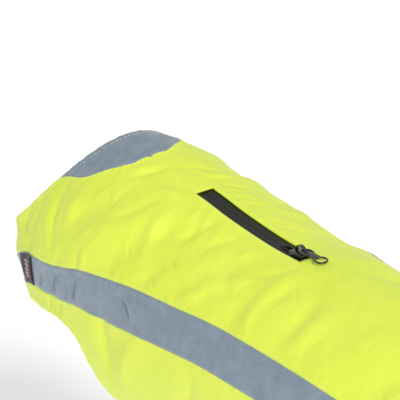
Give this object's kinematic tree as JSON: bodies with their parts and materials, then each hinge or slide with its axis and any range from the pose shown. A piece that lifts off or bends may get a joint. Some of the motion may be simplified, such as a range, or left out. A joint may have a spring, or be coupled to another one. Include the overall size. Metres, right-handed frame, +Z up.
{
  "type": "dog safety vest",
  "caption": "Hollow worn dog safety vest in yellow cloth with grey reflective stripes and nape panel, a back zip with a swinging pull, and a belly strap.",
  "frame": {"origin": "inside of the back, on the body's middle line over the withers, where the wearer carries the vest", "axes": "+X to the rear along the back, +Y to the wearer's right side, +Z up"},
  "size_m": [0.4973, 0.1593, 0.1767],
  "materials": {
    "yellow_cloth": "matt fluorescent woven polyester",
    "reflective_cloth": "grey retroreflective cloth with a soft sheen",
    "hook_and_loop": "black hook-and-loop tape",
    "woven_label": "black woven label",
    "zip_film": "matt coated zip tape",
    "zip_metal": "black lacquered die-cast zinc"
  },
  "bodies": {
    "vest": {"back_panel": "yellow_cloth", "nape_panel": "reflective_cloth", "stripe_left": "reflective_cloth", "stripe_right": "reflective_cloth", "lower_band_left": "yellow_cloth", "lower_band_right": "yellow_cloth", "belly_strap": "yellow_cloth", "loop_patch": "hook_and_loop", "hook_patch": "hook_and_loop", "label": "woven_label", "zip_tape_left": "zip_film", "zip_tape_right": "zip_film", "zip_slider": "zip_metal"},
    "pull": {"zip_pull": "zip_metal"}
  },
  "joints": [
    {"name": "pull_swing", "type": "hinge", "parent": "vest", "child": "pull", "pos_m": [0.12187, 0.00264, -0.00175], "axis": [0.0418, -0.9987, 0.0275], "range_deg": [0, 165]}
  ]
}
